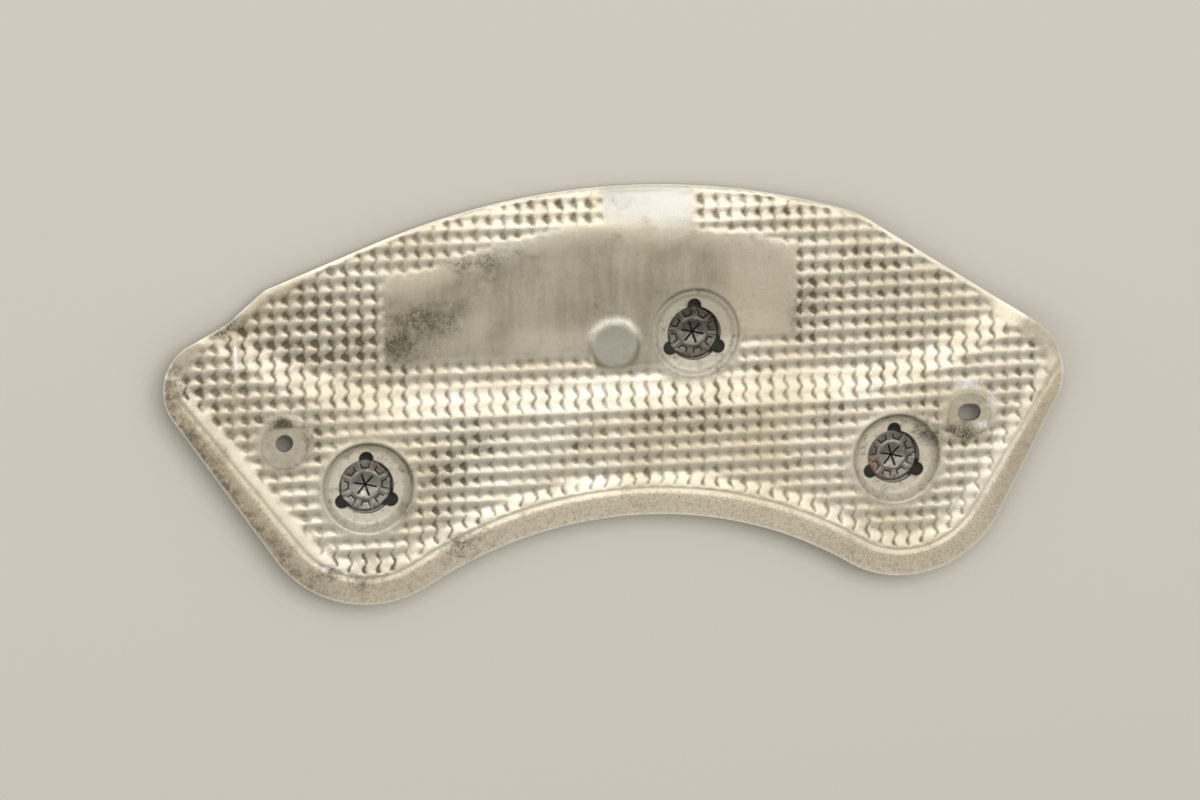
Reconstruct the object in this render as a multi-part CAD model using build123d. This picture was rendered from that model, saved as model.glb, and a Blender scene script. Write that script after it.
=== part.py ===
"""Exhaust heat shield: one pressed, dimpled aluminium sheet that holds three captive push nuts.

Millimetres. The shield lies with its shown face up: +X along the dimple rows, +Y towards the
crown, +Z out of the shown face. The origin is the middle of its footprint, on the resting plane.
"""
import os
from itertools import product
from math import acos, atan2, degrees, dist, hypot, pi, sqrt

from build123d import *

# Sheet
sheet_thickness = 0.8
dimple_pitch = 6.2
dimple_depth = 1.0

# Outline: the shoulder is tangent to the crown, the corner stands out, the feet are tangent to the arch
crown_top_y = 88.5
crown_radius = 321.0
arch_radius = 178.0
arch_centre_y = -232.5
foot_radius = 48.6
foot_x = 118.7
left_tip = (-183.2, 8.1)
left_tip_radius = 21.8
right_tip = (164.0, 0.7)
right_tip_radius = 26.4
shoulder_x = 80.0
shoulder_radius = 40.0
notch = (-184.9, 47.2)
notch_radius = 14.0
corner_x = -159.0
corner_radius = 4.0
corner_lift = 3.43

# Height steps of the shown face, from the nut seats up
centre_seat_depth = 2.0
step_rise = 2.6
crown_drop = 3.6
flange_rise = 2.0

# Step between the lower and the upper field, bent up towards both ends, and the crown strip
step_foot_y = -8.4
step_rows = 2
step_left_x = -90.0
step_right_x = 78.0
step_end_radius = 150.0
upper_rows = 11
crown_rows = 3

# Plain flange along the feet and the arch, which runs out of the edge at the tips
flange_width = 12.0
flange_wall_run = 6.0
flange_tip_width = 8.0
flange_overrun = 0.25

# Nut seats: dished pockets with a three-lobed opening
seats = {"left": (-119.0, -37.5), "centre": (24.5, 23.3), "right": (114.9, -35.5)}
seat_floor_radius = 16.4
seat_wall_run = 3.0
opening_radius = 11.6
lobe_radius = 2.9
lobe_count = 3
lobe_centre_radius = 12.2

# Plain pressed areas
panel_left_x = -111.0
panel_right_x = 69.7
panel_foot_y = 15.5
panel_left_y = 52.0
panel_crest = (-60.0, 66.0)
panel_top_y = 72.0
panel_right_y = 62.0
strip_left_x = -16.5
strip_right_x = 24.0
button = (-11.0, 19.5)
button_radius = 9.6
button_rise = 1.0
washer_radius = 12.0
seat_margin = 4.0
tip_margin = 9.0
rim_margin = 1.5

# Fixing holes
bolt_hole = (-154.3, -16.1)
slot_hole = (147.9, -16.2)
bolt_hole_radius = 3.5
slot_length = 10.0

# Push nuts, all alike but turned differently in their seats
nut_turns = {"left": 0.0, "centre": 240.0, "right": 120.0}
nut_thickness = 0.6
nut_plate_radius = 11.1
nut_drop = 2.4
finger_count = 6
finger_dish = 0.7
finger_root_radius = 6.4
slit_start = 48.0
slit_length = 5.0
slit_width = 0.8
tongue_count = 8
tongue_inner_radius = 7.6
tongue_outer_radius = 10.8
tongue_inner_width = 2.4
tongue_outer_width = 4.8
tongue_rise = 0.4
lance_width = 0.5
ear_count = 3
ear_start = 90.0
ear_width = 8.0
ear_foot_radius = 9.8
ear_bend_radius = 12.4
ear_step_radius = 15.0
ear_radius = 16.6

# Worked out from the sizes above
seat_back_z = nut_drop + nut_thickness + finger_dish
seat_z = seat_back_z + sheet_thickness
upper_z = seat_z + centre_seat_depth
lower_z = upper_z + step_rise
step_run = step_rows * dimple_pitch
step_head_y = step_foot_y + step_run
step_centre_y = step_foot_y + step_end_radius
crown_fold_y = step_head_y + upper_rows * dimple_pitch
crown_run = crown_rows * dimple_pitch
crown_centre_y = crown_top_y - crown_radius
foot_y = arch_centre_y + sqrt((arch_radius + foot_radius) ** 2 - foot_x**2)
shoulder_y = crown_centre_y + sqrt((crown_radius - shoulder_radius) ** 2 - shoulder_x**2)
corner_y = crown_centre_y + sqrt((crown_radius + corner_lift - corner_radius) ** 2 - corner_x**2)
reach = crown_radius


def face_height(x, y):
    """Height of the shown face, without dimples, from the lower field over the step to the crown."""
    beyond = max(step_left_x - x, 0, x - step_right_x)
    inside = step_end_radius - hypot(beyond, step_centre_y - y)
    sunk = step_rise * min(max(inside / step_run, 0), 1)
    bent = crown_drop * max(y - crown_fold_y, 0) / crown_run
    return lower_z - sunk - bent


def belt(circles):
    """Closed face inside a belt run anticlockwise round the circles.

    Each circle is a centre and a radius. A radius below zero is a hollow that the belt bends into.
    """
    angles = []
    for (c1, r1), (c2, r2) in zip(circles, circles[1:] + circles[:1]):
        dx, dy = c2[0] - c1[0], c2[1] - c1[1]
        lean = round((r1 - r2) / hypot(dx, dy), 9)
        angles.append(atan2(dy, dx) - acos(lean))
    edges = []
    for i, (centre, radius) in enumerate(circles):
        turn = (angles[i] - angles[i - 1]) % (2 * pi)
        start = angles[i - 1]
        if radius < 0:
            turn -= 2 * pi
            start += pi
        edges.append(CenterArc(centre, abs(radius), degrees(start), degrees(turn)))
    lines = []
    for before, after in zip(edges, edges[1:] + edges[:1]):
        if (after @ 0 - before @ 1).length > 1e-3:
            lines.append(Line(before @ 1, after @ 0))
    return make_face(edges + lines)


def outline(foot_inset=0.0, tip_inset=0.0, edge_inset=0.0):
    """The shield's outline, or a line inside it by the given insets."""
    return belt([
        ((foot_x, foot_y), foot_radius - foot_inset),
        (right_tip, right_tip_radius - tip_inset),
        ((shoulder_x, shoulder_y), shoulder_radius - edge_inset),
        ((0, crown_centre_y), crown_radius - edge_inset),
        ((corner_x, corner_y), corner_radius - edge_inset),
        (notch, -notch_radius - edge_inset),
        (left_tip, left_tip_radius - tip_inset),
        ((-foot_x, foot_y), foot_radius - foot_inset),
        ((0, arch_centre_y), -arch_radius - foot_inset),
    ])


def flange_end(foot, tip, tip_radius):
    """Circle that the flange line bends round past a tip, on from the foot and the tip by the overrun."""
    foot_end = foot_radius - flange_width
    tip_end = tip_radius - flange_tip_width
    x, y = (t + flange_overrun * (t - f) for f, t in zip(foot, tip))
    return x, y, tip_end + flange_overrun * (tip_end - foot_end)


def flange_line(inset):
    """Line along the flange wall, by its inset from the head of the wall, off the sheet past the tips."""
    foot = foot_radius - flange_width - inset
    right_x, right_y, right = flange_end((foot_x, foot_y), right_tip, right_tip_radius)
    left_x, left_y, left = flange_end((-foot_x, foot_y), left_tip, left_tip_radius)
    return belt([
        ((foot_x, foot_y), foot),
        ((right_x, right_y), right - inset),
        ((right_x, reach), right - inset),
        ((left_x, reach), left - inset),
        ((left_x, left_y), left - inset),
        ((-foot_x, foot_y), foot),
        ((0, arch_centre_y), -arch_radius - flange_width - inset),
    ])


def step_line(inset):
    """Line along the step, by its inset from the foot of the step."""
    radius = step_end_radius - inset
    return belt([((step_left_x, step_centre_y), radius), ((step_right_x, step_centre_y), radius)])


def hollow(line, run, floor, rise):
    """Hollow with a flat floor inside a line and a wall that slopes on past its rise."""
    foot = Pos(0, 0, floor) * line(run)
    top = Pos(0, 0, floor + 2 * rise) * line(-run)
    return loft([foot, top], ruled=True)


def crown_cut():
    """What lies above the crown strip, which bends back from the upper field."""
    section = Plane.YZ * make_face(Polyline(
        (crown_fold_y, upper_z),
        (crown_fold_y + 2 * crown_run, upper_z - 2 * crown_drop),
        (crown_fold_y + 2 * crown_run, 2 * lower_z),
        (crown_fold_y, 2 * lower_z),
        close=True,
    ))
    return extrude(section, amount=reach, both=True)


def seat_pocket():
    """Dished pocket of a nut seat, cut from the face."""
    rise = lower_z - seat_z
    rim = seat_floor_radius + 2 * seat_wall_run
    return Cone(seat_floor_radius, rim, 2 * rise, align=(Align.CENTER, Align.CENTER, Align.MIN))


def face_block():
    """Solid below the shown face, with the flange, the step, the seats and the button, without dimples."""
    flange_z = lower_z + flange_rise
    block = Box(2 * reach, 2 * reach, flange_z + reach)
    block = Pos(0, 0, flange_z - (flange_z + reach) / 2) * block
    block -= hollow(flange_line, flange_wall_run, lower_z, flange_rise)
    block -= hollow(step_line, step_run, upper_z, step_rise)
    block -= crown_cut()
    block += Pos(*button, upper_z) * Cone(button_radius + 2 * button_rise, button_radius, 2 * button_rise)
    for x, y in seats.values():
        block -= Pos(x, y, seat_z) * seat_pocket()
    return block


def seat_opening():
    """Opening in a seat: a circle with three lobes, one over each ear of the nut."""
    lobes = PolarLocations(lobe_centre_radius, lobe_count, start_angle=90)
    return Circle(opening_radius) + [place * Circle(lobe_radius) for place in lobes]


def plain_sheet():
    """The pressed sheet with its openings, before dimpling."""
    block = face_block()
    sheet = block - Pos(0, 0, -sheet_thickness) * block
    cut = outline()
    for x, y in seats.values():
        cut -= Pos(x, y) * seat_opening()
    cut -= Pos(*bolt_hole) * Circle(bolt_hole_radius)
    cut -= Pos(*slot_hole) * SlotOverall(slot_length, 2 * bolt_hole_radius)
    return sheet & extrude(cut, amount=2 * lower_z)


def plain_panel():
    """The smooth panel in the upper field, with its strip up to the crown edge."""
    crown_y = crown_top_y + dimple_pitch
    upper_left = ThreePointArc((panel_left_x, panel_left_y), panel_crest, (strip_left_x, panel_top_y))
    rest = Polyline(
        (strip_left_x, panel_top_y),
        (strip_left_x, crown_y),
        (strip_right_x, crown_y),
        (strip_right_x, panel_top_y),
        (panel_right_x, panel_right_y),
        (panel_right_x, panel_foot_y),
        (panel_left_x, panel_foot_y),
        (panel_left_x, panel_left_y),
    )
    return make_face([upper_left, *rest.edges()])


def dimple_cells():
    """Column and row of each dimple: a square lattice, clear of the rim, the seats and the panel."""
    limits = [
        outline(flange_width + flange_wall_run, tip_margin, rim_margin).face(),
        flange_line(flange_wall_run).face(),
    ]
    panel = plain_panel().face()
    seat_rim = seat_floor_radius + seat_wall_run + seat_margin
    keep_out = [(place, seat_rim) for place in seats.values()]
    keep_out += [(bolt_hole, washer_radius), (slot_hole, washer_radius)]
    keep_out += [(button, button_radius + button_rise)]
    columns = range(-int(reach / dimple_pitch), int(reach / dimple_pitch))
    bounds = limits[0].bounding_box()
    cells = set()
    for i, j in product(columns, columns):
        corners = cell_corners(i, j)
        centre = sum(corners, Vector()) / len(corners)
        if not (bounds.min.X < centre.X < bounds.max.X and bounds.min.Y < centre.Y < bounds.max.Y):
            continue
        if any(dist((c.X, c.Y), place) < gap for c in corners for place, gap in keep_out):
            continue
        if not panel.is_inside(centre) and all(limit.is_inside(c) for c in corners for limit in limits):
            cells.add((i, j))
    return {cell for cell in cells if not meets_at_corner(cell, cells)}


def meets_at_corner(cell, cells):
    """Whether a cell meets one in the row above at a corner alone."""
    i, j = cell
    above = [(i + step, j + 1) for step in (-1, 1) if (i + step, j) not in cells]
    return (i, j + 1) not in cells and any(other in cells for other in above)


def patches(cells):
    """Groups of cells that share sides."""
    rest = set(cells)
    groups = []
    while rest:
        group = set()
        fresh = {min(rest)}
        while fresh:
            group |= fresh
            beside = {side for cell in fresh for side in cell_sides(*cell)}
            fresh = (beside & rest) - group
        groups.append(group)
        rest -= group
    return groups


def cell_sides(i, j):
    """Neighbours of a cell across its sides, in the order of its corners."""
    return [(i, j - 1), (i + 1, j), (i, j + 1), (i - 1, j)]


def cell_corners(i, j):
    """Corners of a dimple cell, anticlockwise, on the ground plane."""
    steps = [(i, j), (i + 1, j), (i + 1, j + 1), (i, j + 1)]
    return [Vector(a * dimple_pitch, step_foot_y + b * dimple_pitch) for a, b in steps]


def dimple_field(cells):
    """The dimpled stretch of the sheet: in each cell four slopes go down to a point."""
    through = Vector(0, 0, -sheet_thickness)
    faces = []
    for i, j in cells:
        rim = [c + Vector(0, 0, face_height(c.X, c.Y)) for c in cell_corners(i, j)]
        pit = sum(rim, Vector()) / len(rim) - Vector(0, 0, dimple_depth)
        for a, b, side in zip(rim, rim[1:] + rim[:1], cell_sides(i, j)):
            faces.append(Face(Wire.make_polygon([a, b, pit])))
            faces.append(Face(Wire.make_polygon([a + through, pit + through, b + through])))
            if side not in cells:
                faces.append(Face(Wire.make_polygon([a, a + through, b + through, b])))
    return Solid(Shell(faces))


def field_area(cells):
    """Ground area of the dimple cells, put together from runs of cells along the rows."""
    strips = []
    for i, j in sorted(cells, key=lambda cell: (cell[1], cell[0])):
        if (i - 1, j) not in cells:
            start = cell_corners(i, j)[0]
        if (i + 1, j) not in cells:
            end = cell_corners(i, j)[2]
            strips.append(Pos((start + end) / 2) * Rectangle(end.X - start.X, end.Y - start.Y))
    return Sketch() + strips


def shield_sheet():
    """The whole sheet: the plain pressing with its dimple cells pressed in."""
    cells = dimple_cells()
    sheet = plain_sheet() - extrude(field_area(cells), amount=2 * lower_z)
    return sheet.fuse(*[dimple_field(group) for group in patches(cells)])


def nut_plate():
    """Round plate of a push nut, whose flat fingers slope back to their meeting point."""
    plate = Cylinder(nut_plate_radius, nut_thickness, align=(Align.CENTER, Align.CENTER, Align.MAX))
    root = Rot(0, 0, slit_start) * RegularPolygon(finger_root_radius, finger_count)
    dish = loft([root.face(), Vertex(0, 0, -finger_dish)])
    return Pos(0, 0, -nut_drop) * (plate - dish + Pos(0, 0, -nut_thickness) * dish)


def nut_ear():
    """Bent ear of a push nut, along +X from the plate up to the back of the seat."""
    foot = -nut_drop
    slope = nut_thickness / 2
    section = Plane.XZ * make_face(Polyline(
        (ear_foot_radius, foot),
        (ear_bend_radius, foot),
        (ear_step_radius, 0),
        (ear_radius, 0),
        (ear_radius, -nut_thickness),
        (ear_step_radius + slope, -nut_thickness),
        (ear_bend_radius + slope, foot - nut_thickness),
        (ear_foot_radius, foot - nut_thickness),
        close=True,
    ))
    return extrude(section, amount=ear_width / 2, both=True)


def push_nut():
    """Captive push nut: star fingers, a ring of lanced tongues, and three ears behind the seat."""
    tongue = make_face(Polyline(
        (tongue_inner_radius, -tongue_inner_width / 2),
        (tongue_outer_radius, -tongue_outer_width / 2),
        (tongue_outer_radius, tongue_outer_width / 2),
        (tongue_inner_radius, tongue_inner_width / 2),
        close=True,
    ))
    lance = Pos(tongue_inner_radius - lance_width, 0) * Rectangle(lance_width, tongue_inner_width)
    slit = Rectangle(2 * slit_length, slit_width)
    slits = [Rot(0, 0, slit_start + 360 / finger_count * k) * slit for k in range(finger_count // 2)]
    ring = [Rot(0, 0, 360 / tongue_count * k) for k in range(tongue_count)]
    cuts = Sketch() + slits + [turn * lance for turn in ring]

    nut = nut_plate()
    for k in range(ear_count):
        nut += Rot(0, 0, 360 / ear_count * k + ear_start) * nut_ear()
    face = Pos(0, 0, -nut_drop)
    nut += [face * turn * extrude(tongue, amount=tongue_rise) for turn in ring]
    return nut - Pos(0, 0, -seat_back_z) * extrude(cuts, amount=seat_back_z)


nut = push_nut()
middle = outline().bounding_box().center()
ground = seat_back_z + nut.bounding_box().min.Z
place = Pos(-middle.X, -middle.Y, -ground)
pieces = {"heat_shield_sheet": shield_sheet()}
for side, (x, y) in seats.items():
    pieces[f"push_nut_{side}"] = Pos(x, y, seat_back_z) * Rot(0, 0, nut_turns[side]) * nut

os.makedirs("parts", exist_ok=True)
for name, piece in pieces.items():
    export_step(place * piece, f"parts/{name}.step")
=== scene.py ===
"""Visual model of the exhaust heat shield.

The sheet and the nuts are fine reliefs, worked out in millimetres from the sizes of the solids and
built in metres.
"""
from math import acos, atan2, hypot, pi, sqrt

import bpy
import numpy as np
from mathutils import Matrix, Vector
from mathutils.geometry import delaunay_2d_cdt


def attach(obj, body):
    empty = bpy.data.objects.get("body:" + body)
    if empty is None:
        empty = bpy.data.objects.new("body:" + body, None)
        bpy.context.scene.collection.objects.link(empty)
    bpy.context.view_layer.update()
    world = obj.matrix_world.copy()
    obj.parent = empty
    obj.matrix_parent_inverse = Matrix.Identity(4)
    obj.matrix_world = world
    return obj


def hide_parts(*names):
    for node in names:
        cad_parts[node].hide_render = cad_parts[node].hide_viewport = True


MM = 0.001

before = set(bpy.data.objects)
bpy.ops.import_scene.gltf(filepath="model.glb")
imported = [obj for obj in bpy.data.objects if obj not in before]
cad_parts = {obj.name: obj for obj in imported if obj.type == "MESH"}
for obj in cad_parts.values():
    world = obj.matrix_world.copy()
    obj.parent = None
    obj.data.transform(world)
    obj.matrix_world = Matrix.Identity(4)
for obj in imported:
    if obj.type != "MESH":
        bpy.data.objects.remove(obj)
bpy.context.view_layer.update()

# Sizes of the solids, in millimetres, about the middle of the arch
thickness = 0.8
pitch = 6.2
crown_top_y = 88.5
crown_radius = 321.0
arch_radius = 178.0
arch_centre_y = -232.5
foot_radius = 48.6
foot_x = 118.7
left_tip, left_tip_radius = (-183.2, 8.1), 21.8
right_tip, right_tip_radius = (164.0, 0.7), 26.4
shoulder_x, shoulder_radius = 80.0, 40.0
notch, notch_radius = (-184.9, 47.2), 14.0
corner_x, corner_radius, corner_lift = -159.0, 4.0, 3.43
seat_z, lower_z = 4.399, 8.999
flange_rise = 1.95
step_foot_y, step_run, step_rise = -8.4, 12.4, 2.6
step_left_x, step_right_x, step_end_radius = -90.0, 78.0, 150.0
crown_fold_y, crown_run, crown_drop = 72.2, 18.6, 3.6
flange_width, wall_run, flange_tip_width, flange_overrun = 12.0, 6.0, 8.0, 0.25
seats = {"left": (-119.0, -37.5), "centre": (24.5, 23.3), "right": (114.9, -35.5)}
seat_floor_radius, seat_wall_run, wrinkles = 16.4, 3.0, 30
opening_radius, lobe_radius, lobe_centre_radius = 11.6, 2.9, 12.2
lobe_turns = np.radians([90, 210, 330])
button, button_radius = (-11.0, 19.5), 9.6
bolt_hole, slot_hole, hole_radius, slot_length = (-154.3, -16.1), (147.9, -16.2), 3.5, 10.0
washer_radius = 12.0
tip_crease_x = -174.2
panel_left_x, panel_right_x = -111.0, 69.7
panel_foot_x = (-111.0, -21.0, -19.0, 8.0, 40.0, 70.0)
panel_foot_y = (15.5, 15.5, 9.8, 9.8, 21.0, 21.0)
strip_left_x, strip_right_x = -16.5, 24.0
panel_top_x = (-111.0, -90.4, -73.6, -60.0, -43.3, -30.5, -16.9, 24.0, 49.6, 69.0)
panel_top_y = (52.5, 56.3, 62.2, 66.0, 69.7, 71.4, 73.0, 70.0, 66.2, 61.5)

crown_centre_y = crown_top_y - crown_radius
foot_y = arch_centre_y + sqrt((arch_radius + foot_radius) ** 2 - foot_x**2)
shoulder_y = crown_centre_y + sqrt((crown_radius - shoulder_radius) ** 2 - shoulder_x**2)
corner_y = crown_centre_y + sqrt((crown_radius + corner_lift - corner_radius) ** 2 - corner_x**2)
step_centre_y = step_foot_y + step_end_radius
edge_inset = 0.06
plan_middle_x = 7

# Relief of the shown face: heights, and the places between which each comes in
face_clearance = 0.02
step_roundings, crown_rounding = (2.0, 2.5), 3.0
wall_head_rise, wall_ease = 1.3, (0.4, 0.8)
lip_run, lip_end_y = (0.7, 2.5), (-12, 8)
groove_depth, groove_width, groove_flank_x, groove_flank_loss = 0.06, 0.8, (105, 150), 0.85
fall_depth, fall_start = 0.28, 3.0
panel_sink, panel_sink_run, panel_sink_left_run, panel_sink_right_x = 0.45, 14, 90, (90, 40)
bend_drop, bend_x, bend_run, bend_y = 0.35, (140, 175), 9, (-5, 12)
tip_crease_rise, tip_crease_width = 0.45, 1.2
tip_crease_foot_y, tip_crease_head_y = (3, 9), (27, 33)
button_rise, button_slope = 1.0, (-0.8, 2.4)
pocket_reach, pocket_rounding, pocket_blend = 8, 1.0, 0.9
ripple_depth, ripple_offset, ripple_width = 0.16, 6.2, 2.2
ripple_patch, ripple_seed, ripple_share = 11.0, 17, (-0.6, 0.5)
rim_drop, rim_drop_run, rim_drop_y = 0.6, 1.5, (20, 45)
mottle_layers = ((0.09, 31.0, 11), (0.03, 9.0, 12))  # height, size, seed
mottle_run = 6

# Where the embossing stops, and where it turns into creases on a slope
seat_margin, washer_margin, button_margin, panel_margin = (3.2, 8.5), (-1.5, 3.0), (0.5, 3.5), (-1.6, 1.4)
flange_margin, flank_margin, flank_x, flank_y = (0.2, 2.4), (3.6, 4.4), (-128, -146), (-5, 10)
rim_margin, tip_margin, tip_x, tip_y = (0.6, 2.6), (5.5, 7.0), (140, 160), (-30, -5)
left_tip_loss, left_tip_y = 0.55, (15, 28)
step_start, step_end = (0.2, 2.0), (2.0, 0.2)
wall_start, wall_end, foot_extra_run, foot_extra_y = (0.2, 1.5), 2, 5, (-45, -60)

# The embossed lattice: depths in millimetres, widths as shares of a cell
swing, swing_start = 0.12, 0.15
row_depth, pit_depth, gap_depth, crease_depth, slope_crease_depth = 0.33, 0.5, 0.16, 0.11, 0.23
pit_width, pit_height, gap_width, crease_width = 0.22, 0.25, 0.17, 0.075
pit_seed, pit_table, pit_range, pit_stray = 3, (97, 89), (0.5, 1.3), 0.07
deep_x, deep_gain = (-120, -160), 0.3
pillow_x, pillow_y = (-70, -105), (-12, 6)
bold_x, bold_y, bold_gain = (-45, -70), (-12, -28), 0.45
slope_flattening, slope_soil_and_shade_loss = 0.6, 0.4
# Shares of dirt and painted shade in the rows, the pillow gaps and the creases
row_soil_and_shade, gap_soil_and_shade, crease_soil_and_shade, slope_crease_soil_and_shade = 0.13, 0.2, 0.25, 0.45

# Push nuts: plate, star fingers, tongues and ears
slit_turn, tongue_turn, ear_turn = 60, 45, 120
nut_turns = {"left": 0.0, "centre": 240.0, "right": 120.0}
nut_seat_z, nut_thickness, nut_drop, plate_radius = 3.599, 0.6, 2.4, 11.4
finger_dish, finger_root_radius, slit_start, slit_length = 0.7, 6.4, 48.0, 5.0
tongue_inner, tongue_outer, tongue_rise = 7.6, 10.8, 0.4
tongue_half_inner, tongue_half_outer = 1.2, 2.4
ear_start, ear_half_width = 90.0, 4.0
ear_root, ear_bend, ear_step, ear_tip = 10.2, 12.4, 15.0, 16.6
# The ears behind the lobes are coloured near black, as painted shade
ear_clearance, ear_bend_shift, ear_painted_shade = 0.03, 0.3, 0.9
root_rise, root_inner, root_outer = 0.35, (2.5, 5.4), (5.9, 7.0)
slit_sink, slit_half_width, slit_end = 0.45, (0.26, 0.46), (-0.3, 0.2)
slit_lip_rise, slit_lip_offset, slit_lip_width = 0.07, 0.62, 0.16
slit_lip_start, slit_lip_end = (0.8, 1.6), (4.2, 5.0)
tongue_edge, tongue_slope = (-0.05, 0.3), (0.5, 1.35)
lance_inner, lance_outer, lance_end = (0.02, 0.14), (0.42, 0.56), (8.9, 9.3)
rib_rise, rib_width, rib_start, rib_end = 0.3, 0.3, (7.9, 8.4), (10.5, 10.9)
stud_rise, stud_radius, stud_spread = 0.22, 7.3, 0.14
plate_edge, plate_edge_drop = (10.9, 11.4), 0.15
nut_steps, nut_rim_gap, nut_clearance, nut_least_z = (0.2, 0.45), 0.6, 0.02, (0.03, 0.005)

# Where the relief mesh has its points: shares of a dimple cell, and rows along the folds
fine_across = (0.0, 0.14, 0.26, 0.36, 0.44, 0.5, 0.56, 0.64, 0.74, 0.86)
fine_along = tuple(np.arange(7) / 7)
coarse_shares = tuple(np.arange(4) / 4)
back_shares = tuple(np.arange(3) / 3)
flange_rows = (-2.9, -2.3, -1.7, -1.1, -0.5, 0.0, 0.5, 1.0)
seat_rings = (14.6, 15.2, 15.7, 16.15, 16.6, 17.05, 17.5, 18.0, 18.6, 19.2, 19.8, 20.4, 21.1)
seat_ring_points, button_ring_points, back_ring_points = 140, 80, 70
button_rings = (8.7, 9.2, 9.7, 10.2, 10.7, 11.2, 11.7, 12.2)
rim_rows, lip_rows = (0.45, 1.1), (0.45, 0.9)
rim_step, rim_row_step, guide_step, flange_step, box_step = 0.8, 0.9, 1.0, 4.0, 0.2
opening_turn, slot_turn, least_gap, guide_gap, hole_reach = 2.5, 12.0, 0.05, 0.4, 20
lattice_columns, lattice_rows = range(-37, 37), range(-16, 18)
mark_radius, least_share = washer_radius + 1, 0.01
valid_faces, weld, noise_cells = 4, 1e-6, 64


# Plane geometry

def belt(circles):
    """Arcs and lines of a belt run anticlockwise round the circles. A radius below zero is a hollow."""
    angles = []
    for (c1, r1), (c2, r2) in zip(circles, circles[1:] + circles[:1]):
        dx, dy = c2[0] - c1[0], c2[1] - c1[1]
        angles.append(atan2(dy, dx) - acos(round((r1 - r2) / hypot(dx, dy), 9)))
    arcs = []
    for i, (centre, radius) in enumerate(circles):
        turn = (angles[i] - angles[i - 1]) % (2 * pi)
        start = angles[i - 1]
        if radius < 0:
            turn, start = turn - 2 * pi, start + pi
        arcs.append((centre, abs(radius), start, turn))
    return arcs


def polar(centre, radius, turn):
    """Points at a distance and a bearing from a centre."""
    return np.stack([centre[0] + radius * np.cos(turn), centre[1] + radius * np.sin(turn)], axis=-1)


def rotated(x, y, degrees):
    c, s = np.cos(np.radians(degrees)), np.sin(np.radians(degrees))
    return x * c - y * s, x * s + y * c


def arc_ends(arc):
    return polar(arc[0], arc[1], np.array([arc[2], arc[2] + arc[3]]))


def belt_loop(arcs, step):
    """Points along a belt, about one step apart."""
    points = []
    for arc, after in zip(arcs, arcs[1:] + arcs[:1]):
        count = max(2, int(round(arc[1] * abs(arc[3]) / step)))
        points.append(polar(arc[0], arc[1], arc[2] + arc[3] * np.linspace(0, 1, count + 1))[:-1])
        end, start = arc_ends(arc)[1], arc_ends(after)[0]
        count = max(1, int(round(np.linalg.norm(start - end) / step)))
        points.append(end + (start - end) * np.linspace(0, 1, count + 1)[:-1, None])
    points = np.concatenate(points)
    gap = np.linalg.norm(points - np.roll(points, 1, axis=0), axis=1)
    return points[gap > least_gap]


def belt_distance(arcs, points):
    """Distance of points from a belt."""
    best = np.full(len(points), 1e9)
    for arc, after in zip(arcs, arcs[1:] + arcs[:1]):
        (cx, cy), radius, start, turn = arc
        away = points - (cx, cy)
        bearing = np.arctan2(away[:, 1], away[:, 0]) - start
        bearing = np.mod(bearing if turn > 0 else -bearing, 2 * pi)
        on_arc = bearing <= abs(turn)
        reach = np.abs(np.hypot(away[:, 0], away[:, 1]) - radius)
        best = np.where(on_arc, np.minimum(best, reach), best)
        a, b = arc_ends(arc)[1], arc_ends(after)[0]
        along = b - a
        length = max(along @ along, 1e-12)
        t = np.clip(((points - a) @ along) / length, 0, 1)
        best = np.minimum(best, np.linalg.norm(points - a - t[:, None] * along, axis=1))
    return best


def inside_loop(loop, points):
    """Which points lie inside a closed loop of points."""
    x, y = points.T
    inside = np.zeros(len(points), bool)
    for (x1, y1), (x2, y2) in zip(loop, np.roll(loop, -1, axis=0)):
        if y1 == y2:
            continue
        crosses = (y1 > y) != (y2 > y)
        inside ^= crosses & (x < x1 + (y - y1) * (x2 - x1) / (y2 - y1))
    return inside


def outline(inset):
    return belt([
        ((foot_x, foot_y), foot_radius - inset),
        (right_tip, right_tip_radius - inset),
        ((shoulder_x, shoulder_y), shoulder_radius - inset),
        ((0, crown_centre_y), crown_radius - inset),
        ((corner_x, corner_y), corner_radius - inset),
        (notch, -notch_radius - inset),
        (left_tip, left_tip_radius - inset),
        ((-foot_x, foot_y), foot_radius - inset),
        ((0, arch_centre_y), -arch_radius - inset),
    ])


def rim_distance(points):
    """Distance of points from the rim, below nought outside it."""
    arcs = outline(edge_inset)
    away = belt_distance(arcs, points)
    return np.where(inside_loop(belt_loop(arcs, guide_step), points), away, -away)


def flange_end(foot, tip, tip_radius):
    foot_end, tip_end = foot_radius - flange_width, tip_radius - flange_tip_width
    x, y = (t + flange_overrun * (t - f) for f, t in zip(foot, tip))
    return x, y, tip_end + flange_overrun * (tip_end - foot_end)


def flange_line(inset=0.0):
    foot = foot_radius - flange_width - inset
    right_x, right_y, right = flange_end((foot_x, foot_y), right_tip, right_tip_radius)
    left_x, left_y, left = flange_end((-foot_x, foot_y), left_tip, left_tip_radius)
    return belt([
        ((foot_x, foot_y), foot),
        ((right_x, right_y), right - inset),
        ((right_x, crown_radius), right - inset),
        ((left_x, crown_radius), left - inset),
        ((left_x, left_y), left - inset),
        ((-foot_x, foot_y), foot),
        ((0, arch_centre_y), -arch_radius - flange_width - inset),
    ])


def opening_loop(centre, grow):
    """Edge of a seat's opening, a circle with three lobes, or a line outside it."""
    turn = np.radians(np.arange(0, 360, opening_turn))
    reach = np.full(len(turn), opening_radius + grow)
    for lobe in lobe_turns:
        off = turn - lobe
        clear = (lobe_radius + grow) ** 2 - (lobe_centre_radius * np.sin(off)) ** 2
        hit = (clear > 0) & (np.cos(off) > 0)
        far = lobe_centre_radius * np.cos(off) + np.sqrt(np.maximum(clear, 0))
        reach = np.where(hit, np.maximum(reach, far), reach)
    return polar(centre, reach, turn)


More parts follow.
